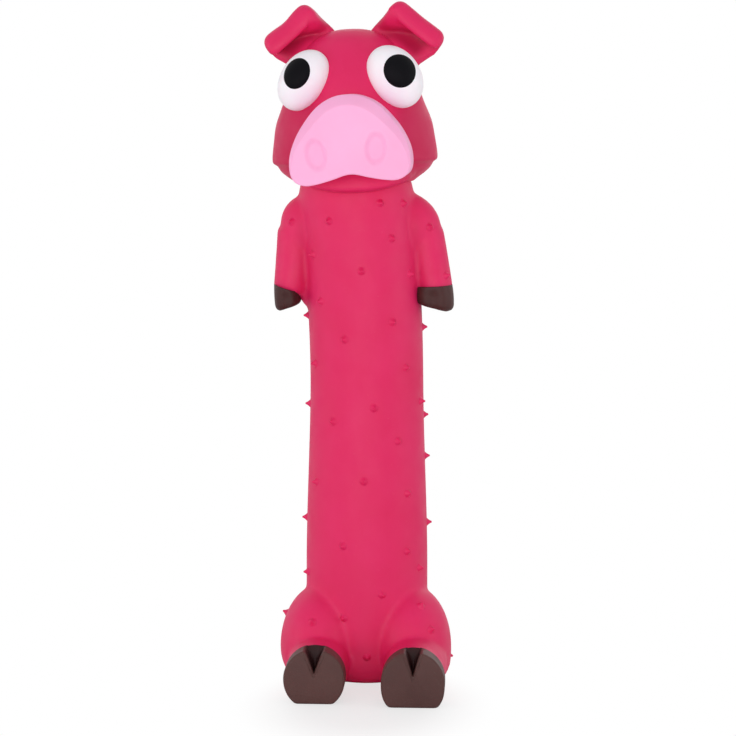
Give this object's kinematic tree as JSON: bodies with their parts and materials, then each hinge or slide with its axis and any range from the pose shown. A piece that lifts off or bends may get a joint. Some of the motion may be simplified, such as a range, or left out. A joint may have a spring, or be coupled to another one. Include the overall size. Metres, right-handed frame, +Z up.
{
  "type": "squeaky dog toy",
  "caption": "Seated latex pig dog toy with a long nubbed body, stuffed with fibre round a bellows squeaker, with a head that nods and ears that flop.",
  "frame": {"origin": "on the floor at the middle of the base plug, under the body tube", "axes": "+Z up along the body tube, -Y to the toy's front, +X to the toy's own left"},
  "size_m": [0.0795, 0.0855, 0.2804],
  "materials": {
    "red_latex": "satin moulded latex with a soft bloom",
    "pink_latex": "satin painted latex",
    "brown_latex": "satin painted latex",
    "white_latex": "satin painted latex",
    "black_latex": "satin painted latex",
    "fibre": "loose polyester fibre",
    "white_plastic": "blow-moulded soft plastic",
    "reed_film": "thin plastic film"
  },
  "bodies": {
    "torso": {"torso_skin": "red_latex", "base_plug": "red_latex", "lower_filling": "fibre", "upper_filling": "fibre", "left_arm": "red_latex", "right_arm": "red_latex", "left_front_hoof": "brown_latex", "right_front_hoof": "brown_latex", "left_leg": "red_latex", "right_leg": "red_latex", "left_hind_hoof": "brown_latex", "right_hind_hoof": "brown_latex", "squeaker_nozzle": "white_plastic", "reed_shoe": "white_plastic", "reed_wedge": "white_plastic"},
    "head": {"head_skin": "red_latex", "head_filling": "fibre", "snout": "pink_latex", "left_eye": "white_latex", "right_eye": "white_latex", "left_pupil": "black_latex", "right_pupil": "black_latex"},
    "left_ear": {"left_ear": "red_latex"},
    "right_ear": {"right_ear": "red_latex"},
    "bulb": {"squeaker_bulb": "white_plastic"},
    "reed": {"squeaker_reed": "reed_film"}
  },
  "joints": [
    {"name": "neck_nod", "type": "hinge", "parent": "torso", "child": "head", "pos_m": [-0.0044, 0, 0.2], "axis": [1, 0, 0], "range_deg": [-12, 15], "stiffness_Nm_per_rad": 0.6},
    {"name": "left_ear_flop", "type": "hinge", "parent": "head", "child": "left_ear", "pos_m": [0.01218, 0.00168, 0.26225], "axis": [0.7857, -0.0134, -0.6184], "range_deg": [-15, 25], "stiffness_Nm_per_rad": 0.02},
    {"name": "right_ear_flop", "type": "hinge", "parent": "head", "child": "right_ear", "pos_m": [-0.02479, 0.00232, 0.26109], "axis": [0.7454, -0.0134, 0.6665], "range_deg": [-15, 25], "stiffness_Nm_per_rad": 0.02},
    {"name": "squeeze", "type": "slide", "parent": "torso", "child": "bulb", "axis": [0, 1, 0], "range_m": [0, 0.008], "stiffness_N_per_m": 1200, "deforming": ["squeaker_bulb"]},
    {"name": "reed_flutter", "type": "hinge", "parent": "torso", "child": "reed", "pos_m": [0, 0.0113, 0.105], "axis": [1, 0, 0], "range_deg": [0, 3.2]}
  ],
  "couplings": [
    {"joint": "reed_flutter", "follows": "squeeze", "rad_per_m": 6.545}
  ]
}
